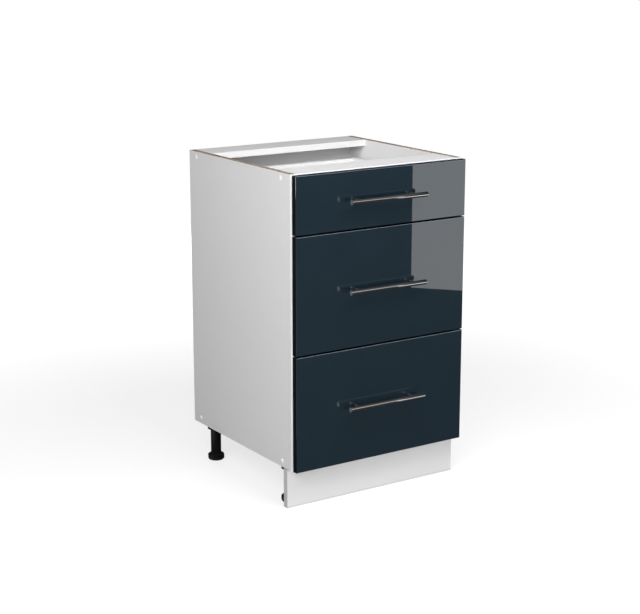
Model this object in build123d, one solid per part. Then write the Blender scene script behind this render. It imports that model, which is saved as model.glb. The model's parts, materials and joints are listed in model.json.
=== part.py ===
from build123d import *
import math
import os

# Kitchen base cabinet with three drawers on adjustable legs, in millimetres.
# The origin is on the floor in the middle of the outer box, +Z is up and the drawer fronts face -Y.

# Carcass boards
cabinet_width = 500
carcass_height = 720
carcass_depth = 482
board_thickness = 16
edge_band_thickness = 1
front_rail_width = 90
rear_rail_width = 86

# Back panel in its groove
back_thickness = 3
back_setback = 10
groove_play = 0.1
groove_end_play = 0.5

# Caps over the carcass screws
cap_radius = 7
cap_thickness = 1
front_cap_inset = 44
rear_cap_inset = 34
cap_edge_inset = 14

# Holes in the top rails for the worktop screws
worktop_hole_radius = 2.5
worktop_hole_inset = 84

# Drawer fronts
front_thickness = 16
front_gap = 2
front_side_reveal = 3
front_top_reveal = 2
gap_between_fronts = 3
top_front_height = 140
front_edge_radius = 1.5

# Bar handles
bar_diameter = 12
bar_length = 220
handle_standoff = 27
post_diameter = 8
post_spacing = 160
post_seat_play = 0.02

# Drawer boxes
box_board = 12
box_offset = 26
top_box_height = 65
deep_box_height = 170
drawer_rear_gap = 41
drawer_bottom_thickness = 3
drawer_bottom_lift = 10
drawer_groove_depth = 5

# Roller runners
runner_gap = 12.5
runner_sheet = 1.2
runner_front_inset = 2
runner_rear_inset = 28
rail_height = 25
rail_front_inset = 1
profile_gap = 0.5
running_gap = 0.3
upper_play = 1.5
roller_radius = 10
roller_step = 0.7
roller_end_inset = 14
roller_web_gap = 1.3
roller_lip_gap = 0.8
roller_bore_play = 0.05
stud_radius = 3
stud_end = 0.3
stop_height = 4
open_roller_distance = 70

# Legs and feet
leg_height = 100
leg_side_inset = 35
leg_rear_inset = 50
leg_plinth_gap = 6
leg_column_radius = 13.5
socket_plate_width = 52
socket_plate_corner = 6
socket_plate_thickness = 3
socket_cup_width = 36
socket_cup_corner = 7
socket_cup_height = 14
socket_play = 0.05
foot_radius = 21.5
foot_sides = 10
foot_rim_height = 14
foot_rim_chamfer = 2
foot_height = 18
foot_shoulder_radius = 14.5
spindle_radius = 5
spindle_length = 42
spindle_play = 0.05
spindle_end_gap = 2

# Plinth
plinth_thickness = 16
plinth_setback = 20
plinth_top_gap = 2
clip_height = 20
clip_lift = 42
clip_wall = 2
clip_play = 0.1
clip_plate_width = 30
clip_neck_width = 10
clip_prong_length = 4

# Main planes, worked out from the sizes above
inner_x = cabinet_width / 2 - board_thickness
carcass_bottom_z = leg_height
carcass_top_z = leg_height + carcass_height
overall_depth = carcass_depth + front_gap + front_thickness + handle_standoff + bar_diameter / 2
back_y = overall_depth / 2
front_edge_y = back_y - carcass_depth
board_front_y = front_edge_y + edge_band_thickness
front_rear_face_y = front_edge_y - front_gap
front_face_y = front_rear_face_y - front_thickness
floor_board_top_z = carcass_bottom_z + board_thickness
rail_bottom_z = carcass_top_z - board_thickness

# Back panel and groove
groove_depth = board_thickness / 2
back_panel_y = (back_y - back_setback - back_thickness, back_y - back_setback)
groove_y = (back_panel_y[0] - groove_play, back_panel_y[1] + groove_play)

# Cap places as seen from the side
cap_y = (front_edge_y + front_cap_inset, back_y - rear_cap_inset)
cap_z = (carcass_bottom_z + cap_edge_inset, carcass_top_z - cap_edge_inset)

# Drawer box planes
box_outer_x = inner_x - runner_gap
box_inner_x = box_outer_x - box_board
box_y = (front_rear_face_y, back_panel_y[0] - drawer_rear_gap)
inner_front_y = (box_y[0], box_y[0] + box_board)
box_back_y = (box_y[1] - box_board, box_y[1])
drawer_bottom_top = drawer_bottom_lift + drawer_bottom_thickness
drawer_groove_z = (drawer_bottom_lift - groove_play, drawer_bottom_top + groove_play)

# Runner section, with heights above the underside of the cabinet profile
rear_roller_z = runner_sheet + running_gap + roller_radius
front_roller_z = rear_roller_z + roller_step
rail_flange_z = front_roller_z + roller_radius + running_gap
channel_height = rail_flange_z + runner_sheet + upper_play + runner_sheet
channel_lift = rail_height - rail_flange_z - runner_sheet

# Runner section, with distances from the inner face of the side panel
rail_leg_u = runner_gap - runner_sheet
channel_flange_u = rail_leg_u - profile_gap
roller_u = (runner_sheet + roller_web_gap, channel_flange_u - roller_lip_gap)

# Runner places along the depth
channel_y = (front_edge_y + runner_front_inset, box_y[1] - runner_rear_inset)
rail_y = (front_rear_face_y + rail_front_inset, box_y[1] - runner_rear_inset)
front_roller_y = channel_y[0] + roller_end_inset
rear_roller_y = rail_y[1] - roller_end_inset
drawer_travel = rear_roller_y - front_roller_y - open_roller_distance
stop_drop = rear_roller_z - runner_sheet - stop_height
stop_reach = math.sqrt(roller_radius**2 - stop_drop**2) + running_gap
stop_y = rear_roller_y - drawer_travel - stop_reach

# Leg and plinth places
socket_plate_z = leg_height - socket_plate_thickness
plinth_y = (front_edge_y + plinth_setback, front_edge_y + plinth_setback + plinth_thickness)
leg_x = cabinet_width / 2 - leg_side_inset
front_leg_y = plinth_y[1] + leg_plinth_gap + foot_radius
rear_leg_y = back_y - leg_rear_inset
leg_rows = {"front": front_leg_y, "rear": rear_leg_y}

# The lower two fronts share what the top one leaves
fronts_top_z = carcass_top_z - front_top_reveal
fronts_height = fronts_top_z - carcass_bottom_z
deep_front_height = (fronts_height - top_front_height - 2 * gap_between_fronts) / 2
middle_front_z = carcass_bottom_z + deep_front_height + gap_between_fronts
top_front_z = fronts_top_z - top_front_height

# Each drawer as the underside of its front, the height of its front and the height of its box
drawers = {
    "top": (top_front_z, top_front_height, top_box_height),
    "middle": (middle_front_z, deep_front_height, deep_box_height),
    "bottom": (carcass_bottom_z, deep_front_height, deep_box_height),
}


def block(x, y, z):
    """A box between the low and high values of each axis."""
    size = [high - low for low, high in (x, y, z)]
    middle = [(low + high) / 2 for low, high in (x, y, z)]
    return Pos(*middle) * Box(*size)


def rod_x(x, y, z, radius):
    """A round rod along X, between the two values of x."""
    return Pos((x[0] + x[1]) / 2, y, z) * Rot(0, 90, 0) * Cylinder(radius, abs(x[1] - x[0]))


def rod_y(x, y, z, radius):
    """A round rod along Y, between the two values of y."""
    return Pos(x, (y[0] + y[1]) / 2, z) * Rot(90, 0, 0) * Cylinder(radius, abs(y[1] - y[0]))


def rod_z(x, y, z, radius):
    """A round rod along Z, between the two values of z."""
    return Pos(x, y, (z[0] + z[1]) / 2) * Cylinder(radius, abs(z[1] - z[0]))


def mirrored(shape):
    """The same piece on the other side of the cabinet."""
    return shape.mirror(Plane.YZ)


def both_sides(shape):
    """A piece and its mirror image."""
    return [shape, mirrored(shape)]


def long_profile(points, y):
    """A bent sheet profile: an outline across the cabinet, run along its depth."""
    outline = make_face(Polyline(*points, close=True))
    return Pos(0, y[0], 0) * extrude(Plane.XZ * outline, amount=y[0] - y[1])


def write(node, shapes):
    """Writes one node, as one solid or as a group of separate solids."""
    solids = [solid for shape in shapes for solid in shape.solids()]
    whole = solids[0] if len(solids) == 1 else Compound(children=solids)
    export_step(whole, f"parts/{node}.step")


def side_panel():
    """The left side panel, with its back groove."""
    outer_x = -cabinet_width / 2
    panel = block((outer_x, -inner_x), (board_front_y, back_y), (carcass_bottom_z, carcass_top_z))
    groove_z = (floor_board_top_z - groove_depth, rail_bottom_z + groove_depth)
    return panel - block((-inner_x - groove_depth, -inner_x), groove_y, groove_z)


def bottom_panel():
    """The cabinet floor, with the back groove."""
    panel = block((-inner_x, inner_x), (board_front_y, back_y), (carcass_bottom_z, floor_board_top_z))
    return panel - block((-inner_x, inner_x), groove_y, (floor_board_top_z - groove_depth, floor_board_top_z))


def top_rail(y):
    """A flat top rail, with the holes of the worktop screws."""
    rail = block((-inner_x, inner_x), y, (rail_bottom_z, carcass_top_z))
    hole_x = inner_x - worktop_hole_inset
    for x in (-hole_x, hole_x):
        rail -= rod_z(x, (y[0] + y[1]) / 2, (rail_bottom_z, carcass_top_z), worktop_hole_radius)
    return rail


def rear_top_rail():
    """The rear rail, with the groove that takes the top edge of the back panel."""
    rail = top_rail((back_y - rear_rail_width, back_y))
    return rail - block((-inner_x, inner_x), groove_y, (rail_bottom_z, rail_bottom_z + groove_depth))


def back_panel():
    """The thin back, held in the groove on all four sides."""
    reach = groove_depth - groove_end_play
    x = (-inner_x - reach, inner_x + reach)
    return block(x, back_panel_y, (floor_board_top_z - reach, rail_bottom_z + reach))


def front_edge_bands():
    """White bands on the front edges of the sides, the front rail and the floor."""
    y = (front_edge_y, board_front_y)
    side = block((-cabinet_width / 2, -inner_x), y, (carcass_bottom_z, carcass_top_z))
    rail = block((-inner_x, inner_x), y, (rail_bottom_z, carcass_top_z))
    floor = block((-inner_x, inner_x), y, (carcass_bottom_z, floor_board_top_z))
    return [*both_sides(side), rail, floor]


def cover_caps():
    """Round caps on the outer faces of the side panels, over the screw heads."""
    outer_x = -cabinet_width / 2
    caps = []
    for y in cap_y:
        for z in cap_z:
            caps += both_sides(rod_x((outer_x - cap_thickness, outer_x), y, z, cap_radius))
    return caps


def square_plate(x, y, z, width, corner):
    """A square plate about a point, with its corners cut off."""
    half = width / 2
    plate = block((x - half, x + half), (y - half, y + half), z)
    return chamfer(plate.edges().filter_by(Axis.Z), corner)


def leg_socket(x, y):
    """A socket under the cabinet floor: a plate with a square cup for the top of a leg."""
    plate = square_plate(x, y, (socket_plate_z, leg_height), socket_plate_width, socket_plate_corner)
    cup_z = (socket_plate_z - socket_cup_height, socket_plate_z)
    cup = square_plate(x, y, cup_z, socket_cup_width, socket_cup_corner)
    return plate + cup - rod_z(x, y, cup_z, leg_column_radius + socket_play)


def leg(x, y):
    """A leg: a column pushed up into its socket, bored from below for the spindle of its foot."""
    column = rod_z(x, y, (foot_height, socket_plate_z), leg_column_radius)
    bore_top = foot_height + spindle_length + spindle_end_gap
    return column - rod_z(x, y, (foot_height, bore_top), spindle_radius + spindle_play)


def foot(x, y):
    """A screw foot: a faceted puck with a short shoulder, and the spindle that runs up into the leg."""
    outline = RegularPolygon(foot_radius, foot_sides)
    rim = extrude(outline, amount=foot_rim_height)
    rim = chamfer(rim.faces().sort_by(Axis.Z)[0].edges(), foot_rim_chamfer)
    shoulder_height = foot_height - foot_rim_height
    inset = (foot_radius - foot_shoulder_radius) * math.cos(math.pi / foot_sides)
    slope = math.degrees(math.atan(inset / shoulder_height))
    shoulder = extrude(Pos(0, 0, foot_rim_height) * outline, amount=shoulder_height, taper=slope)
    spindle = rod_z(0, 0, (foot_height, foot_height + spindle_length), spindle_radius)
    return Pos(x, y, 0) * (rim + shoulder + spindle)


def plinth_board():
    """The plinth, standing on the floor in front of the legs."""
    half = cabinet_width / 2
    return block((-half, half), plinth_y, (0, leg_height - plinth_top_gap))


def plinth_clip(x):
    """A spring clip: a plate on the back of the plinth, a neck and a two-pronged fork round a front leg."""
    z = (clip_lift, clip_lift + clip_height)
    inner = leg_column_radius + clip_play
    outer = inner + clip_wall
    clip = rod_z(x, front_leg_y, z, outer)
    clip -= block((x - outer, x + outer), (front_leg_y, front_leg_y + outer), z)
    clip += block((x - clip_neck_width / 2, x + clip_neck_width / 2), (plinth_y[1], front_leg_y), z)
    plate_y = (plinth_y[1], plinth_y[1] + clip_wall)
    clip += block((x - clip_plate_width / 2, x + clip_plate_width / 2), plate_y, z)
    clip -= rod_z(x, front_leg_y, z, inner)
    prong_y = (front_leg_y, front_leg_y + clip_prong_length)
    for low in (x - outer, x + inner):
        clip += block((low, low + clip_wall), prong_y, z)
    return clip


def cabinet_runner(z):
    """The left cabinet profile of a drawer: a channel with a roller stud at its front and a stop lug."""
    face = -inner_x
    outer, web = face, face + runner_sheet
    lip = face + channel_flange_u
    top = z + channel_height
    channel = long_profile(
        [(outer, z), (lip, z), (lip, z + runner_sheet), (web, z + runner_sheet),
         (web, top - runner_sheet), (lip, top - runner_sheet), (lip, top), (outer, top)],
        channel_y,
    )
    stud_z = z + front_roller_z
    channel += rod_x((outer, face + roller_u[1] + stud_end), front_roller_y, stud_z, stud_radius)
    lug_x = (face + roller_u[0], face + roller_u[1])
    lug_z = (z + runner_sheet, z + runner_sheet + stop_height)
    return channel + block(lug_x, (stop_y - runner_sheet, stop_y), lug_z)


def drawer_rail(z):
    """The left rail of a drawer box whose underside is at z, with the stud of its rear roller."""
    face = -inner_x
    leg_x_low, leg_x_high = face + rail_leg_u, face + runner_gap
    flange = face + roller_u[0]
    under = leg_x_high + box_board
    top = z + rail_height
    rail = long_profile(
        [(flange, top), (flange, top - runner_sheet), (leg_x_low, top - runner_sheet),
         (leg_x_low, z - runner_sheet), (under, z - runner_sheet), (under, z), (leg_x_high, z),
         (leg_x_high, top)],
        rail_y,
    )
    stud_z = z + channel_lift + rear_roller_z
    return rail + rod_x((face + roller_u[0] - stud_end, leg_x_high), rear_roller_y, stud_z, stud_radius)


def roller(y, z):
    """A left runner roller with its running bore."""
    x = [-inner_x + u for u in roller_u]
    return rod_x(x, y, z, roller_radius) - rod_x(x, y, z, stud_radius + roller_bore_play)


def drawer_front(z, height):
    """A drawer front with a rounded rim."""
    half = cabinet_width / 2 - front_side_reveal
    front = block((-half, half), (front_face_y, front_rear_face_y), (z, z + height))
    return fillet(front.faces().sort_by(Axis.Y)[0].edges(), front_edge_radius)


def handle_bar(z):
    """The round bar of a handle."""
    return rod_x((-bar_length / 2, bar_length / 2), front_face_y - handle_standoff, z, bar_diameter / 2)


def handle_post(z):
    """The left post of a handle, saddled onto the bar."""
    x = -post_spacing / 2
    bar_y = front_face_y - handle_standoff
    post = rod_y(x, (bar_y, front_face_y), z, post_diameter / 2)
    seat = rod_x((x - post_diameter, x + post_diameter), bar_y, z, bar_diameter / 2 + post_seat_play)
    return post - seat


def box_side(z, height):
    """The left side of a drawer box, with the groove for the bottom board."""
    side = block((-box_outer_x, -box_inner_x), box_y, (z, z + height))
    groove_x = (-box_inner_x - drawer_groove_depth, -box_inner_x)
    groove_ends = (inner_front_y[1] - drawer_groove_depth, box_back_y[0] + drawer_groove_depth)
    return side - block(groove_x, groove_ends, [z + lift for lift in drawer_groove_z])


def box_inner_front(z, height):
    """The front wall of a drawer box, behind the drawer front."""
    wall = block((-box_inner_x, box_inner_x), inner_front_y, (z, z + height))
    groove = (inner_front_y[1] - drawer_groove_depth, inner_front_y[1])
    return wall - block((-box_inner_x, box_inner_x), groove, [z + lift for lift in drawer_groove_z])


def box_back(z, height):
    """The rear wall of a drawer box."""
    wall = block((-box_inner_x, box_inner_x), box_back_y, (z, z + height))
    groove = (box_back_y[0], box_back_y[0] + drawer_groove_depth)
    return wall - block((-box_inner_x, box_inner_x), groove, [z + lift for lift in drawer_groove_z])


def box_bottom(z):
    """The thin bottom board of a drawer box, held in the groove on all four sides."""
    reach = drawer_groove_depth - groove_end_play
    x = (-box_inner_x - reach, box_inner_x + reach)
    y = (inner_front_y[1] - reach, box_back_y[0] + reach)
    return block(x, y, (z + drawer_bottom_lift, z + drawer_bottom_top))


def write_carcass():
    """Everything that stands still, apart from the runners."""
    side = side_panel()
    write("left_side_panel", [side])
    write("right_side_panel", [mirrored(side)])
    write("bottom_panel", [bottom_panel()])
    write("front_top_rail", [top_rail((board_front_y, front_edge_y + front_rail_width))])
    write("rear_top_rail", [rear_top_rail()])
    write("back_panel", [back_panel()])
    write("front_edge_bands", front_edge_bands())
    write("screw_cover_caps", cover_caps())
    write("plinth_board", [plinth_board()])
    write("plinth_clips", both_sides(plinth_clip(-leg_x)))
    write("leg_sockets", [socket for y in leg_rows.values() for socket in both_sides(leg_socket(-leg_x, y))])
    for row, y in leg_rows.items():
        write(f"{row}_legs", both_sides(leg(-leg_x, y)))
        write(f"{row}_left_foot", [foot(-leg_x, y)])
        write(f"{row}_right_foot", [foot(leg_x, y)])


def write_drawer(name, front_z, front_height, box_height):
    """One drawer with its front, handle, box, rails, cabinet runners and rollers."""
    handle_z = front_z + front_height / 2
    box_z = front_z + box_offset
    channel_z = box_z + channel_lift
    side = box_side(box_z, box_height)
    rail = drawer_rail(box_z)
    runner = cabinet_runner(channel_z)
    write(f"{name}_drawer_front", [drawer_front(front_z, front_height)])
    write(f"{name}_handle_bar", [handle_bar(handle_z)])
    write(f"{name}_handle_posts", both_sides(handle_post(handle_z)))
    write(f"{name}_drawer_left_side", [side])
    write(f"{name}_drawer_right_side", [mirrored(side)])
    write(f"{name}_drawer_inner_front", [box_inner_front(box_z, box_height)])
    write(f"{name}_drawer_back", [box_back(box_z, box_height)])
    write(f"{name}_drawer_bottom", [box_bottom(box_z)])
    write(f"{name}_drawer_left_rail", [rail])
    write(f"{name}_drawer_right_rail", [mirrored(rail)])
    write(f"{name}_left_runner", [runner])
    write(f"{name}_right_runner", [mirrored(runner)])
    write(f"{name}_front_rollers", both_sides(roller(front_roller_y, channel_z + front_roller_z)))
    write(f"{name}_rear_rollers", both_sides(roller(rear_roller_y, channel_z + rear_roller_z)))


os.makedirs("parts", exist_ok=True)
write_carcass()
for drawer, sizes in drawers.items():
    write_drawer(drawer, *sizes)
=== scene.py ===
import json
import math

import bmesh
import bpy
from mathutils import Matrix, Vector

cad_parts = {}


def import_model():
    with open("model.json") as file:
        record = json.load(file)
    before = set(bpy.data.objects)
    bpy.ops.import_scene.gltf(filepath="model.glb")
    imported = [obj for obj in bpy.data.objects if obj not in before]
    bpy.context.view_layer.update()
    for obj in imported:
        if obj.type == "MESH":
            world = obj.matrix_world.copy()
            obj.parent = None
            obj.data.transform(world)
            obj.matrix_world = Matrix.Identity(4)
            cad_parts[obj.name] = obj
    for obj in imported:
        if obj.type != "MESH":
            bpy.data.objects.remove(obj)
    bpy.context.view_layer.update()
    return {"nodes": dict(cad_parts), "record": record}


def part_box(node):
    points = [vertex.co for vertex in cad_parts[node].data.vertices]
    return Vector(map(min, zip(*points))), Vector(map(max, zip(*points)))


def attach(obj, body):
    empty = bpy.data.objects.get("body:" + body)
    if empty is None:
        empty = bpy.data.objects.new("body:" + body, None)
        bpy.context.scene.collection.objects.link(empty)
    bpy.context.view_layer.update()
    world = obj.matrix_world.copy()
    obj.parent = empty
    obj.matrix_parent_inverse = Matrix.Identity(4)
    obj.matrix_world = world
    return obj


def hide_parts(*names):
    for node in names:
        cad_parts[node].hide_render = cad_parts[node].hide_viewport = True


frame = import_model()

# The cabinet stands on the floor with its drawer fronts facing -Y. All lengths are in metres.
DRAWERS = ("top", "middle", "bottom")
UP, DOWN = Vector((0, 0, 1)), Vector((0, 0, -1))
FRONT, BACK = Vector((0, -1, 0)), Vector((0, 1, 0))

# Sides of the cabinet, with the way that points out of it along X
SIDES = {"left": -1, "right": 1}

# Camera, fitted to the corners of the cabinet in the photograph
IMAGE_WIDTH_PX = 640
FOCAL_PX = 1544.8
SENSOR_WIDTH_MM = 36
CAMERA_PLACE = (-2.1146, -3.1862, 1.3744)
CAMERA_YAW = math.radians(33.226)
CAMERA_PITCH = math.radians(13.879)

# Floor: its own colour, and the white that it shows near the object and far off
FLOOR_HALF = 40.0
FLOOR_COLOUR = (0.31, 0.31, 0.31, 1)
FLOOR_ROUGHNESS = 0.9
FLOOR_WHITE_NEAR, FLOOR_WHITE_FAR = 0.7, 0.99
FLOOR_WHITE_REACH = (0.7, 2.6)

# World: the light that it gives, and the level that it shows
WORLD_COLOUR = (1, 1, 1, 1)
WORLD_LIGHT = 0.03
WORLD_SHOWN = 1.0

# Lamps: place, point aimed at, width, height, power in watts
LAMPS = {
    "key_lamp": ((-1.9, -1.2, 2.0), (0.0, 0.0, 0.45), 1.8, 1.8, 49),
    "low_key_lamp": ((-1.7, -2.0, 1.3), (0.0, 0.0, 0.45), 1.4, 1.4, 27),
    "fill_lamp": ((0.4, -3.0, 0.4), (0.0, -0.2, 0.1), 1.6, 0.7, 58),
    "top_lamp": ((0.1, -1.0, 1.85), (0.0, -0.15, 0.8), 1.2, 0.9, 22),
    "back_lamp": ((0.8, 3.2, 0.8), (0.0, 0.2, 0.45), 2.0, 1.0, 42),
    "right_lamp": ((3.2, -0.4, 0.8), (0.25, 0.0, 0.45), 1.6, 1.0, 30),
}

# The low panel that the gloss fronts mirror, standing on the floor
PANEL_CORNER = Vector((1.395, -1.991, 0.0))
PANEL_ALONG = Vector((0.665, 0.746, 0.0))
PANEL_WIDTH = 1.6
PANEL_HEIGHT = 0.55
PANEL_STRENGTH = 1.58

# The bright strip that the rims of the fronts mirror, standing on the floor at the left
STRIP_X = -4.63
STRIP_Y = (-1.85, 3.6)
STRIP_HEIGHT = 0.9
STRIP_STRENGTH = 9

# The pale card that the ends of the bars mirror, lying on the floor at the front left
CARD_CORNERS = ((-0.62, -0.62), (-0.34, -0.8), (-2.1, -4.6), (-3.3, -3.9))
CARD_LIFT = 0.006
CARD_STRENGTH = 1.0

# The dim tent that the gloss surfaces mirror, open in a slot between its front wall and its roof
TENT_HALF = 7.0
TENT_FLOOR = 0.004
TENT_WALL = 2.3
TENT_ROOF = 5.5
TENT_ROOF_FRONT = -6.9
TENT_STRENGTH = 0.05
ROOF_STRENGTH = 0.13

# Sheets of the stage with one face have their four corners in order round it
ONE_FACE = ((0, 1, 2, 3),)

# Most values of a noise lie in this range
NOISE_RANGE = (0.3, 0.7)

# Grey levels of the white boards, and the share of them that the cloudiness goes down to
BOARD_LEVEL = 0.72
# Lighter than the boards: painted light that brightens the shaded inside of the cabinet
HARDBOARD_LIT_LEVEL = 0.88
DRAWER_BOTTOM_LEVEL = 0.6
# Darker than the boards: painted shade that offsets the strong light on the plinth
PLINTH_SHADED_LEVEL = 0.545
CLOUD_SHARE = 0.985

# Painted shade along the lower edge of the plinth, where it meets the floor: a grey band
SHADE_BAND_HEIGHT = 0.004
SHADE_BAND_LEVEL = 0.46

# Edge rounding of boards and sheet metal
BOARD_BEVEL = 0.0004
SHEET_BEVEL = 0.00025
BEVEL_SEGMENTS = 2
BEVEL_ANGLE = math.radians(40)
MERGE_DISTANCE = 0.000002

# Screw cover caps: the rings of a dome are shares of its radius
CAP_RADIUS = 0.007
CAP_RIM = 0.0002
CAP_RINGS = (1.0, 0.85, 0.65, 0.4, 0.15)

# Screws
HANDLE_SCREW_RADIUS = 0.0042
HANDLE_SCREW_HEIGHT = 0.0022
RUNNER_SCREW_RADIUS = 0.0034
RUNNER_SCREW_HEIGHT = 0.0006
RUNNER_SCREW_INSETS = (0.045, 0.2, 0.36)
RUNNER_SHEET = 0.0012

# Shape of a screw head, as shares of its radius and height, with a recess that narrows by its taper
SHOULDER_RADIUS, SHOULDER_HEIGHT = 0.97, 0.45
CROWN_RADIUS = 0.72
RECESS_LENGTH, RECESS_WIDTH = 0.55, 0.16
RECESS_TAPER, RECESS_FLOOR = 0.8, 0.35

# Vertices round a screw head or a cap
RING_SIDES = 24


# Finishes

class Paint:
    """A node material under construction, with short calls for the nodes that it uses."""

    def __init__(self, name):
        self.material = bpy.data.materials.new(name)
        self.material.use_nodes = True
        self.tree = self.material.node_tree
        self.shader = self.tree.nodes["Principled BSDF"]
        self.coords = self.add("ShaderNodeTexCoord").outputs["Object"]

    def add(self, kind, **settings):
        """A new node with the settings given."""
        node = self.tree.nodes.new(kind)
        for key, value in settings.items():
            setattr(node, key, value)
        return node

    def link(self, source, target):
        """Leads an output of a node to an input."""
        self.tree.links.new(source, target)

    def set(self, **values):
        """Sets constant inputs of the surface shader, with underscores for spaces in their names."""
        for key, value in values.items():
            self.shader.inputs[key.replace("_", " ")].default_value = value

    def stretched(self, scale):
        """Object coordinates, scaled along each axis."""
        node = self.add("ShaderNodeMapping")
        node.inputs["Scale"].default_value = scale
        self.link(self.coords, node.inputs["Vector"])
        return node.outputs["Vector"]

    def noise(self, scale, detail=2.0, roughness=0.5, stretch=(1, 1, 1)):
        """A cloudy value."""
        node = self.add("ShaderNodeTexNoise")
        node.inputs["Scale"].default_value = scale
        node.inputs["Detail"].default_value = detail
        node.inputs["Roughness"].default_value = roughness
        self.link(self.stretched(stretch), node.inputs["Vector"])
        return node.outputs["Fac"]

    def chips(self, scale, stretch):
        """Cells with a random value each."""
        node = self.add("ShaderNodeTexVoronoi")
        node.inputs["Scale"].default_value = scale
        self.link(self.stretched(stretch), node.inputs["Vector"])
        split = self.add("ShaderNodeSeparateColor")
        self.link(node.outputs["Color"], split.inputs["Color"])
        return split.outputs["Red"]

    def spread(self, value, low, high, source=NOISE_RANGE, interpolation="LINEAR"):
        """Maps a value from a source range onto the range from low to high."""
        node = self.add("ShaderNodeMapRange", interpolation_type=interpolation)
        node.inputs["From Min"].default_value, node.inputs["From Max"].default_value = source
        node.inputs["To Min"].default_value = low
        node.inputs["To Max"].default_value = high
        self.link(value, node.inputs["Value"])
        return node.outputs["Result"]

    def combine(self, first, second, operation):
        """Two values as one, by a mathematical operation."""
        node = self.add("ShaderNodeMath", operation=operation)
        self.link(first, node.inputs[0])
        self.link(second, node.inputs[1])
        return node.outputs["Value"]

    def ramp(self, value, *stops):
        """Colours the surface along a value: each stop is a place from 0 to 1 and a colour."""
        node = self.add("ShaderNodeValToRGB")
        marks = node.color_ramp.elements
        for place, _ in stops[1:-1]:
            marks.new(place)
        for mark, (place, colour) in zip(marks, stops):
            mark.position = place
            mark.color = (*colour, 1)
        self.link(value, node.inputs["Fac"])
        self.link(node.outputs["Color"], self.shader.inputs["Base Color"])

    def colour(self, value, dark, light, source=NOISE_RANGE):
        """Colours the surface from dark to light over a source range of a value."""
        low, high = source
        self.ramp(value, (low, dark), (high, light))

    def rough(self, value, low, high):
        """Varies the roughness of the surface with a value."""
        self.link(self.spread(value, low, high), self.shader.inputs["Roughness"])

    def bump(self, height, distance, strength):
        """Makes the surface look raised by a value."""
        node = self.add("ShaderNodeBump")
        node.inputs["Strength"].default_value = strength
        node.inputs["Distance"].default_value = distance
        self.link(height, node.inputs["Height"])
        self.link(node.outputs["Normal"], self.shader.inputs["Normal"])

    def recolour_below(self, height, colour):
        """Gives the surface a plain colour below a height, and leaves it as it is above."""
        plain = self.shader.inputs["Base Color"].links[0].from_socket
        split = self.add("ShaderNodeSeparateXYZ")
        self.link(self.coords, split.inputs["Vector"])
        above = self.add("ShaderNodeMath", operation="GREATER_THAN")
        above.inputs[1].default_value = height
        self.link(split.outputs["Z"], above.inputs[0])
        both = self.add("ShaderNodeMix", data_type="RGBA")
        both.inputs["A"].default_value = (*colour, 1)
        self.link(above.outputs["Value"], both.inputs["Factor"])
        self.link(plain, both.inputs["B"])
        self.link(both.outputs["Result"], self.shader.inputs["Base Color"])


def grey(level):
    """A colour without hue."""
    return (level, level, level)


def melamine(name, level):
    """White melamine: a faint cloudiness and the fine pearl structure of the pressed paper."""
    paint = Paint(name)
    cloud = paint.noise(scale=22, detail=3)
    paint.colour(cloud, dark=grey(level * CLOUD_SHARE), light=grey(level))
    pearl = paint.noise(scale=1300)
    paint.rough(pearl, low=0.36, high=0.5)
    paint.bump(pearl, distance=0.00004, strength=0.5)
    return paint


def plinth():
    """White melamine, with a grey band of painted shade along the lower edge where it meets the floor."""
    # The melamine is set darker than the boards, as painted shade
    paint = melamine("plinth_white_shaded", PLINTH_SHADED_LEVEL)
    # The grey band at the bottom is painted shade
    paint.recolour_below(SHADE_BAND_HEIGHT, grey(SHADE_BAND_LEVEL))
    return paint


def chipboard():
    """Raw chipboard edge: pressed brown chips with darker and lighter ones between."""
    paint = Paint("raw_chipboard")
    chips = paint.chips(scale=420, stretch=(1, 0.45, 1))
    fine = paint.noise(scale=1500, detail=4)
    mixed = paint.combine(chips, fine, "MULTIPLY")
    dark, brown, pale = (0.141, 0.107, 0.081), (0.284, 0.228, 0.175), (0.477, 0.394, 0.312)
    paint.ramp(mixed, (0.05, dark), (0.3, brown), (0.6, pale))
    paint.rough(fine, low=0.75, high=0.95)
    paint.bump(mixed, distance=0.0004, strength=0.7)
    return paint


def hardboard():
    """Raw back of a hardboard panel: brown fibres with a faint cloudiness."""
    paint = Paint("raw_hardboard")
    fibres = paint.noise(scale=900, detail=5, roughness=0.7, stretch=(1, 1, 0.35))
    cloud = paint.noise(scale=14, detail=3)
    mixed = paint.combine(
        paint.spread(fibres, low=0.2, high=0.8), paint.spread(cloud, low=-0.12, high=0.12), "ADD",
    )
    paint.colour(mixed, dark=(0.19, 0.118, 0.066), light=(0.33, 0.215, 0.128), source=(0.15, 0.85))
    paint.rough(fibres, low=0.6, high=0.8)
    paint.bump(fibres, distance=0.00015, strength=0.5)
    return paint


def edge_band():
    """White edge band: smooth, a little glossier than the boards, with faint pressing lines."""
    paint = Paint("edge_band_white")
    lines = paint.noise(scale=700, stretch=(1, 1, 0.04))
    paint.colour(lines, dark=grey(0.86), light=grey(0.88))
    paint.rough(lines, low=0.28, high=0.38)
    paint.bump(lines, distance=0.00002, strength=0.4)
    return paint


def white_plastic():
    """Moulded white plastic with a soft gloss."""
    paint = Paint("moulded_white")
    cloud = paint.noise(scale=160)
    paint.colour(cloud, dark=grey(0.9), light=grey(0.92))
    paint.rough(cloud, low=0.12, high=0.2)
    paint.bump(paint.noise(scale=900), distance=0.00002, strength=0.4)
    return paint


def navy_gloss():
    """High-gloss navy lacquer: nearly a perfect mirror, with the faintest waviness."""
    paint = Paint("navy_gloss_lacquer")
    paint.colour(paint.noise(scale=9), dark=(0.0069, 0.014, 0.02), light=(0.0073, 0.015, 0.0212))
    paint.rough(paint.noise(scale=45, detail=3), low=0.008, high=0.014)
    paint.set(IOR=1.8)
    paint.bump(paint.noise(scale=110), distance=0.000004, strength=0.3)
    return paint


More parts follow.
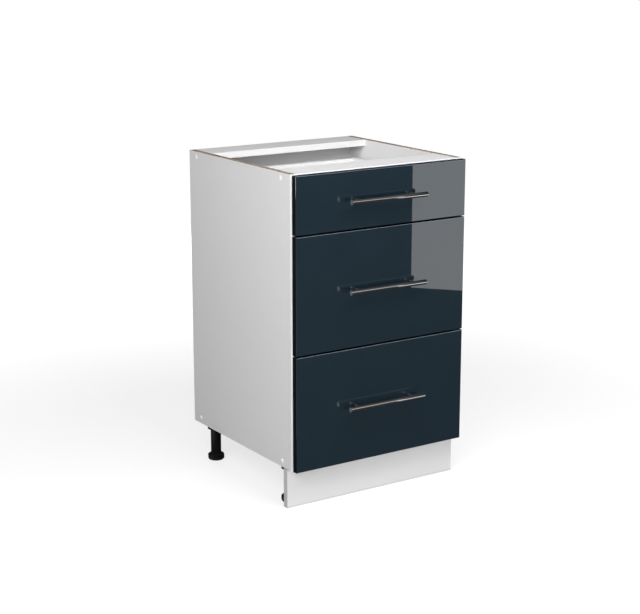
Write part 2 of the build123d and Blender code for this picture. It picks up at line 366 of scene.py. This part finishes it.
def navy_painted_highlight():
    """Painted highlight: the rounded arris along the top of a front, coloured paler than the lacquer to
    stand in for the light that it catches.
    """
    paint = Paint("navy_painted_highlight")
    cloud = paint.noise(scale=60)
    paint.colour(cloud, dark=(0.12, 0.145, 0.17), light=(0.135, 0.16, 0.185))
    paint.rough(cloud, low=0.15, high=0.25)
    return paint


def navy_shaded_edge():
    """The narrow sides of a front: duller than its face, and coloured darker as painted shade."""
    paint = Paint("navy_shaded_edge")
    cloud = paint.noise(scale=60)
    paint.colour(cloud, dark=(0.0026, 0.0038, 0.0052), light=(0.0032, 0.0046, 0.0062))
    paint.rough(cloud, low=0.4, high=0.5)
    paint.set(Specular_IOR_Level=0.03)
    return paint


def handle_steel():
    """Brushed stainless steel, with fine lines along the bar."""
    paint = Paint("handle_brushed_steel")
    lines = paint.noise(scale=2600, detail=3, roughness=0.6, stretch=(0.003, 1, 1))
    paint.colour(lines, dark=(0.5, 0.49, 0.485), light=(0.63, 0.62, 0.615), source=(0.25, 0.75))
    paint.rough(lines, low=0.06, high=0.1)
    paint.set(Metallic=1.0, Anisotropic=0.4)
    paint.bump(lines, distance=0.000004, strength=0.2)
    return paint


def polished_end_highlight():
    """The flat end of a bar, polished and without the brushing lines; its paler, bluish colour and small
    diffuse share brighten it as a painted highlight.
    """
    paint = Paint("handle_end_painted_highlight")
    cloud = paint.noise(scale=700)
    paint.colour(cloud, dark=(0.6, 0.65, 0.68), light=(0.67, 0.72, 0.75))
    paint.rough(cloud, low=0.12, high=0.18)
    paint.set(Metallic=0.92)
    return paint


def white_steel():
    """White epoxy coat on steel sheet, with the slight orange peel of powder paint."""
    paint = Paint("runner_white_epoxy")
    paint.colour(paint.noise(scale=30), dark=grey(0.76), light=grey(0.79))
    peel = paint.noise(scale=650)
    paint.rough(peel, low=0.3, high=0.42)
    paint.bump(peel, distance=0.00005, strength=0.6)
    return paint


def roller_plastic():
    """Milky nylon of the rollers, a little cloudy."""
    paint = Paint("roller_nylon")
    cloud = paint.noise(scale=240, detail=3)
    paint.colour(cloud, dark=(0.62, 0.61, 0.575), light=(0.7, 0.69, 0.65))
    paint.rough(cloud, low=0.35, high=0.5)
    paint.bump(paint.noise(scale=1200), distance=0.00003, strength=0.5)
    return paint


def black_plastic():
    """Black moulded plastic with a fine spark grain."""
    paint = Paint("moulded_black")
    paint.colour(paint.noise(scale=60), dark=(0.0055, 0.0056, 0.0058), light=(0.008, 0.0081, 0.0083))
    grain = paint.noise(scale=1700, detail=3, roughness=0.6)
    paint.rough(grain, low=0.4, high=0.6)
    paint.set(Specular_IOR_Level=0.15)
    paint.bump(grain, distance=0.00006, strength=0.6)
    return paint


def zinc():
    """Zinc plated screw heads with the cloudy look of passivated plating."""
    paint = Paint("zinc_plated")
    cloud = paint.noise(scale=500, detail=3)
    paint.colour(cloud, dark=(0.5, 0.5, 0.5), light=(0.62, 0.62, 0.61))
    paint.rough(cloud, low=0.25, high=0.42)
    paint.set(Metallic=1.0)
    return paint


SLOT_PAINTS = {
    "white_board": melamine("melamine_white", BOARD_LEVEL),
    # The white hardboard face is set lighter, as painted light
    "white_hardboard": melamine("hardboard_white_face_lit", HARDBOARD_LIT_LEVEL),
    "white_edge_band": edge_band(),
    "white_plinth": plinth(),
    "white_plastic": white_plastic(),
    "navy_gloss": navy_gloss(),
    "handle_steel": handle_steel(),
    "white_steel": white_steel(),
    "roller_plastic": roller_plastic(),
    "black_plastic": black_plastic(),
}
ARRIS_HIGHLIGHT = navy_painted_highlight()
SHADED_NARROW_SIDE = navy_shaded_edge()
BAR_END_HIGHLIGHT = polished_end_highlight()
DRAWER_BOTTOM = melamine("drawer_bottom_white", DRAWER_BOTTOM_LEVEL)
CHIPBOARD = chipboard()
HARDBOARD = hardboard()
ZINC = zinc()

DRAWER_BOTTOMS = [f"{name}_drawer_bottom" for name in DRAWERS]

# Faces that show the raw core, as the directions that they look in
RAW_FACES = {
    **{f"{side}_side_panel": (CHIPBOARD, (UP, DOWN, FRONT, BACK)) for side in SIDES},
    "bottom_panel": (CHIPBOARD, (FRONT, BACK)),
    "rear_top_rail": (CHIPBOARD, (BACK,)),
    "back_panel": (HARDBOARD, (BACK,)),
    **{node: (HARDBOARD, (DOWN,)) for node in DRAWER_BOTTOMS},
    **{f"{name}_drawer_{side}_side": (CHIPBOARD, (DOWN, BACK)) for name in DRAWERS for side in SIDES},
}

# A face looks in a direction if its normal lies along it by more than this share
FACING = 0.9

# Rounded edges of a front: the upward slopes that carry the painted highlight, and where the narrow sides
# with painted shade begin
HIGHLIGHT_SLOPES = (0.05, 0.46)
LOWER_SLOPE = -0.05
NARROW_FACING = 0.3

# Slots whose solids get rounded edges, and the drilled boards that stay sharp
BEVELS = {
    "white_board": BOARD_BEVEL,
    "white_hardboard": BOARD_BEVEL,
    "white_plinth": BOARD_BEVEL,
    "white_steel": SHEET_BEVEL,
    "handle_steel": BOARD_BEVEL,
    "black_plastic": BOARD_BEVEL,
}
SHARP_NODES = ("front_top_rail", "rear_top_rail")


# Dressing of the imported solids

def is_painted_highlight(normal):
    """Whether a face of a front belongs to the painted highlight along its upper rounded edge."""
    return normal.dot(FRONT) > NARROW_FACING and HIGHLIGHT_SLOPES[0] < normal.dot(UP) < HIGHLIGHT_SLOPES[1]


def is_shaded_narrow_side(normal):
    """Whether a face of a front belongs to its narrow sides or the dark part of its rounded edges, which
    carry painted shade.
    """
    return abs(normal.dot(FRONT)) < NARROW_FACING or not LOWER_SLOPE < normal.dot(UP) < HIGHLIGHT_SLOPES[1]


def is_bar_end(normal):
    """Whether a face of a bar is one of its flat ends."""
    return abs(normal.x) > FACING


def mark_faces(obj, paint, test):
    """Adds a finish to a solid, for the faces whose normals pass a test."""
    index = len(obj.data.materials)
    obj.data.materials.append(paint.material)
    for face in obj.data.polygons:
        if test(face.normal):
            face.material_index = index


def round_edges(obj, width):
    """Rounds the sharp edges of a solid by modifiers."""
    weld = obj.modifiers.new("joined_corners", "WELD")
    weld.merge_threshold = MERGE_DISTANCE
    bevel = obj.modifiers.new("rounded_edges", "BEVEL")
    bevel.width = width
    bevel.segments = BEVEL_SEGMENTS
    bevel.limit_method = "ANGLE"
    bevel.angle_limit = BEVEL_ANGLE
    bevel.harden_normals = True


def dress_nodes():
    """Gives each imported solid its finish, the finish of its special faces and its rounded edges."""
    for part in frame["record"]["subparts"]:
        node, slot = part["node"], part["material_slot"]
        obj = frame["nodes"][node]
        paint = DRAWER_BOTTOM if node in DRAWER_BOTTOMS else SLOT_PAINTS[slot]
        obj.data.materials.clear()
        obj.data.materials.append(paint.material)
        if node in RAW_FACES:
            core, directions = RAW_FACES[node]
            mark_faces(obj, core, lambda normal: any(normal.dot(way) > FACING for way in directions))
        if slot == "navy_gloss":
            # The paler upper arris of a front is a painted highlight
            mark_faces(obj, ARRIS_HIGHLIGHT, is_painted_highlight)
            # The darker narrow sides of a front are painted shade
            mark_faces(obj, SHADED_NARROW_SIDE, is_shaded_narrow_side)
        if node.endswith("_handle_bar"):
            # The paler ends of a bar carry a painted highlight
            mark_faces(obj, BAR_END_HIGHLIGHT, is_bar_end)
        if slot in BEVELS and node not in SHARP_NODES:
            round_edges(obj, BEVELS[slot])


# Screws and cover caps

def new_piece(name, mesh, paint):
    """An object from a finished mesh under construction."""
    bmesh.ops.recalc_face_normals(mesh, faces=mesh.faces)
    data = bpy.data.meshes.new(name)
    mesh.to_mesh(data)
    mesh.free()
    data.materials.append(paint.material)
    obj = bpy.data.objects.new(name, data)
    bpy.context.scene.collection.objects.link(obj)
    return obj


def ring(mesh, radius, height):
    """A circle of vertices about Z."""
    angles = [2 * math.pi * step / RING_SIDES for step in range(RING_SIDES)]
    points = [(radius * math.cos(angle), radius * math.sin(angle), height) for angle in angles]
    return [mesh.verts.new(point) for point in points]


def join_loops(mesh, lower, upper):
    """A band of faces between two loops of vertices."""
    for i in range(len(lower)):
        mesh.faces.new((lower[i - 1], lower[i], upper[i], upper[i - 1]))


def set_on_surface(mesh, first, place, axis):
    """Moves the vertices from number first on, made standing on Z = 0, to a place that faces axis."""
    mesh.verts.ensure_lookup_table()
    turn = UP.rotation_difference(Vector(axis)).to_matrix()
    for vert in mesh.verts[first:]:
        vert.co = turn @ vert.co + Vector(place)


def screw_head(mesh, place, axis, radius, height):
    """A low domed head with a cross recess, on a surface at place and standing out along axis."""
    first = len(mesh.verts)
    rim = ring(mesh, radius, 0.0)
    shoulder = ring(mesh, radius * SHOULDER_RADIUS, height * SHOULDER_HEIGHT)
    crown = ring(mesh, radius * CROWN_RADIUS, height)
    mesh.faces.new(list(reversed(rim)))
    join_loops(mesh, rim, shoulder)
    join_loops(mesh, shoulder, crown)

    long, thin = radius * RECESS_LENGTH, radius * RECESS_WIDTH
    quarter = [(long, -thin), (long, thin), (thin, thin)]
    cross = [
        Matrix.Rotation(turn * math.pi / 2, 3, "Z") @ Vector((x, y, height))
        for turn in range(4) for x, y in quarter
    ]
    top = [mesh.verts.new(point) for point in cross]
    crown_edges = [mesh.edges.get((crown[i - 1], crown[i])) for i in range(len(crown))]
    top_edges = [mesh.edges.new((top[i - 1], top[i])) for i in range(len(top))]
    bmesh.ops.triangle_fill(mesh, edges=crown_edges + top_edges, use_beauty=True)

    depth = height * RECESS_FLOOR
    sunk = [mesh.verts.new((point.x * RECESS_TAPER, point.y * RECESS_TAPER, depth)) for point in cross]
    join_loops(mesh, top, sunk)
    mesh.faces.new(sunk)
    set_on_surface(mesh, first, place, axis)


def screws(name, body, heads, radius, height):
    """A group of like screw heads on one body: each head is a place and an axis."""
    mesh = bmesh.new()
    for place, axis in heads:
        screw_head(mesh, place, axis, radius, height)
    obj = new_piece(name, mesh, ZINC)
    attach(obj, body)


def handle_screws():
    """Two screws inside each drawer, in line with the handle posts."""
    for name in DRAWERS:
        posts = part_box(f"{name}_handle_posts")
        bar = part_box(f"{name}_handle_bar")
        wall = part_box(f"{name}_drawer_inner_front")
        post_radius = (posts[1].z - posts[0].z) / 2
        z = (bar[0].z + bar[1].z) / 2
        heads = [
            ((x, wall[1].y, z), BACK)
            for x in (posts[0].x + post_radius, posts[1].x - post_radius)
        ]
        screws(
            f"{name}_handle_screws", f"{name}_drawer", heads,
            HANDLE_SCREW_RADIUS, HANDLE_SCREW_HEIGHT,
        )


def panel_face(side, way):
    """The X of the face of a side panel that looks one way along X."""
    low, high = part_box(f"{side}_side_panel")
    return high.x if way > 0 else low.x


def runner_screws():
    """Three flat screws through the web of each cabinet runner."""
    heads = []
    for name in DRAWERS:
        for side, outward in SIDES.items():
            inward = -outward
            low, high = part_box(f"{name}_{side}_runner")
            x = panel_face(side, inward) + inward * RUNNER_SHEET
            z = (low.z + high.z) / 2
            heads += [((x, low.y + inset, z), (inward, 0, 0)) for inset in RUNNER_SCREW_INSETS]
    screws("runner_screws", "carcass", heads, RUNNER_SCREW_RADIUS, RUNNER_SCREW_HEIGHT)


def cap_dome(mesh, place, axis, height):
    """A shallow dome with a low rim, on a surface at place and standing out along axis."""
    first = len(mesh.verts)
    lower = ring(mesh, CAP_RADIUS, 0.0)
    mesh.faces.new(list(reversed(lower)))
    for share in CAP_RINGS:
        rise = CAP_RIM + (height - CAP_RIM) * (1 - share ** 2)
        upper = ring(mesh, CAP_RADIUS * share, rise)
        join_loops(mesh, lower, upper)
        lower = upper
    mesh.faces.new(lower)
    set_on_surface(mesh, first, place, axis)


def cover_caps():
    """Domed caps over the screws of both side panels, in the corners that the plain caps hold."""
    low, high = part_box("screw_cover_caps")
    height = high.x - panel_face("right", SIDES["right"])
    mesh = bmesh.new()
    for side, outward in SIDES.items():
        x = panel_face(side, outward)
        for y in (low.y + CAP_RADIUS, high.y - CAP_RADIUS):
            for z in (low.z + CAP_RADIUS, high.z - CAP_RADIUS):
                cap_dome(mesh, (x, y, z), (outward, 0, 0), height)
    # The bands between two rings are smooth, and the discs stay flat
    for face in mesh.faces:
        face.smooth = len(face.verts) == 4
    obj = new_piece("domed_cover_caps", mesh, SLOT_PAINTS["white_plastic"])
    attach(obj, "carcass")
    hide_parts("screw_cover_caps")


# Stage, light and camera

def stage_sheet(name, corners, material, faces=ONE_FACE):
    """A sheet of the stage, made of flat faces."""
    data = bpy.data.meshes.new(name)
    data.from_pydata([tuple(corner) for corner in corners], [], faces)
    data.materials.append(material)
    obj = bpy.data.objects.new(name, data)
    bpy.context.scene.collection.objects.link(obj)
    return obj


def level_corners(x_range, y_range, z):
    """The corners of a level rectangle."""
    (left, right), (front, back) = x_range, y_range
    return [(left, front, z), (right, front, z), (right, back, z), (left, back, z)]


def upright_corners(near, far, height):
    """The corners of an upright rectangle on the floor, from a near point to a far one."""
    rise = UP * height
    return [near, far, far + rise, near + rise]


def glowing(name, strength):
    """A plain even glow."""
    material = bpy.data.materials.new(name)
    material.use_nodes = True
    tree = material.node_tree
    glow = tree.nodes.new("ShaderNodeEmission")
    glow.inputs["Strength"].default_value = strength
    tree.links.new(glow.outputs["Emission"], tree.nodes["Material Output"].inputs["Surface"])
    return material


def mirrored_sheet(name, corners, strength, faces=ONE_FACE):
    """A glowing sheet of the stage that shows in gloss surfaces alone."""
    obj = stage_sheet(f"stage_{name}", corners, glowing(f"{name}_glow", strength), faces)
    obj.visible_camera = False
    obj.visible_diffuse = False
    obj.visible_transmission = False
    obj.visible_shadow = False


def mirrored_panel():
    """A low pale panel at the front right."""
    far = PANEL_CORNER + PANEL_ALONG.normalized() * PANEL_WIDTH
    mirrored_sheet("panel", upright_corners(PANEL_CORNER, far, PANEL_HEIGHT), PANEL_STRENGTH)


def mirrored_strip():
    """A low bright strip at the left."""
    near, far = (Vector((STRIP_X, y, 0)) for y in STRIP_Y)
    mirrored_sheet("strip", upright_corners(near, far, STRIP_HEIGHT), STRIP_STRENGTH)


def mirrored_card():
    """A pale card on the floor at the front left."""
    mirrored_sheet("card", [(x, y, CARD_LIFT) for x, y in CARD_CORNERS], CARD_STRENGTH)


def mirrored_tent():
    """A dim tent round the object: a floor, four walls and a roof that stops short of the front wall."""
    span = (-TENT_HALF, TENT_HALF)
    base = level_corners(span, span, TENT_FLOOR)
    wall_top = [(x, -TENT_HALF, TENT_WALL) for x in span]
    roof = level_corners(span, (TENT_ROOF_FRONT, TENT_HALF), TENT_ROOF)
    ground, front, back = (0, 1, 2, 3), (0, 1, 5, 4), (2, 3, 9, 8)
    left, right = (3, 0, 4, 6, 9), (1, 2, 8, 7, 5)
    mirrored_sheet("tent", base + wall_top + roof, TENT_STRENGTH, (ground, front, left, right, back))
    mirrored_sheet("roof", roof, ROOF_STRENGTH)


def seen_directly(tree):
    """A value of 1 for rays that show a surface itself: from the camera, in a mirror or through glass."""
    path = tree.nodes.new("ShaderNodeLightPath")
    value = path.outputs["Is Camera Ray"]
    for kind in ("Is Glossy Ray", "Is Transmission Ray"):
        most = tree.nodes.new("ShaderNodeMath")
        most.operation = "MAXIMUM"
        tree.links.new(value, most.inputs[0])
        tree.links.new(path.outputs[kind], most.inputs[1])
        value = most.outputs["Value"]
    return value


def floor():
    """A floor that shows as white, more so further off, and keeps the shadow."""
    paint = Paint("stage_floor")
    paint.set(Base_Color=FLOOR_COLOUR, Roughness=FLOOR_ROUGHNESS, Specular_IOR_Level=0.0)
    distance = paint.add("ShaderNodeVectorMath", operation="LENGTH")
    paint.link(paint.coords, distance.inputs[0])
    level = paint.spread(
        distance.outputs["Value"], FLOOR_WHITE_NEAR, FLOOR_WHITE_FAR, FLOOR_WHITE_REACH, "SMOOTHSTEP",
    )
    white = paint.add("ShaderNodeEmission")
    paint.link(paint.combine(seen_directly(paint.tree), level, "MULTIPLY"), white.inputs["Strength"])
    both = paint.add("ShaderNodeAddShader")
    paint.link(paint.shader.outputs["BSDF"], both.inputs[0])
    paint.link(white.outputs["Emission"], both.inputs[1])
    paint.link(both.outputs["Shader"], paint.tree.nodes["Material Output"].inputs["Surface"])
    span = (-FLOOR_HALF, FLOOR_HALF)
    stage_sheet("stage_floor", level_corners(span, span, 0), paint.material)


def world():
    """Faint even light from all round, which shows as white itself."""
    scene_world = bpy.data.worlds.new("stage_world")
    scene_world.use_nodes = True
    tree = scene_world.node_tree
    background = tree.nodes["Background"]
    background.inputs["Color"].default_value = WORLD_COLOUR
    level = tree.nodes.new("ShaderNodeMapRange")
    level.inputs["To Min"].default_value = WORLD_LIGHT
    level.inputs["To Max"].default_value = WORLD_SHOWN
    tree.links.new(seen_directly(tree), level.inputs["Value"])
    tree.links.new(level.outputs["Result"], background.inputs["Strength"])
    bpy.context.scene.world = scene_world


def lamps():
    """Soft area lamps that the gloss surfaces don't mirror."""
    for name, (place, aim, width, height, power) in LAMPS.items():
        data = bpy.data.lights.new(name, "AREA")
        data.shape = "RECTANGLE"
        data.size, data.size_y = width, height
        data.energy = power
        lamp = bpy.data.objects.new(name, data)
        bpy.context.scene.collection.objects.link(lamp)
        lamp.visible_glossy = False
        lamp.location = place
        lamp.rotation_euler = (Vector(aim) - Vector(place)).to_track_quat("-Z", "Y").to_euler()


def camera():
    """The photograph's viewpoint."""
    data = bpy.data.cameras.new("camera")
    data.sensor_fit = "HORIZONTAL"
    data.sensor_width = SENSOR_WIDTH_MM
    data.lens = FOCAL_PX / IMAGE_WIDTH_PX * SENSOR_WIDTH_MM
    obj = bpy.data.objects.new("camera", data)
    obj.location = CAMERA_PLACE
    obj.rotation_euler = (math.pi / 2 - CAMERA_PITCH, 0, -CAMERA_YAW)
    bpy.context.scene.collection.objects.link(obj)
    bpy.context.scene.camera = obj


# The scene
dress_nodes()
handle_screws()
runner_screws()
cover_caps()
floor()
mirrored_panel()
mirrored_strip()
mirrored_card()
mirrored_tent()
world()
lamps()
camera()
bpy.context.scene.view_settings.view_transform = "Standard"
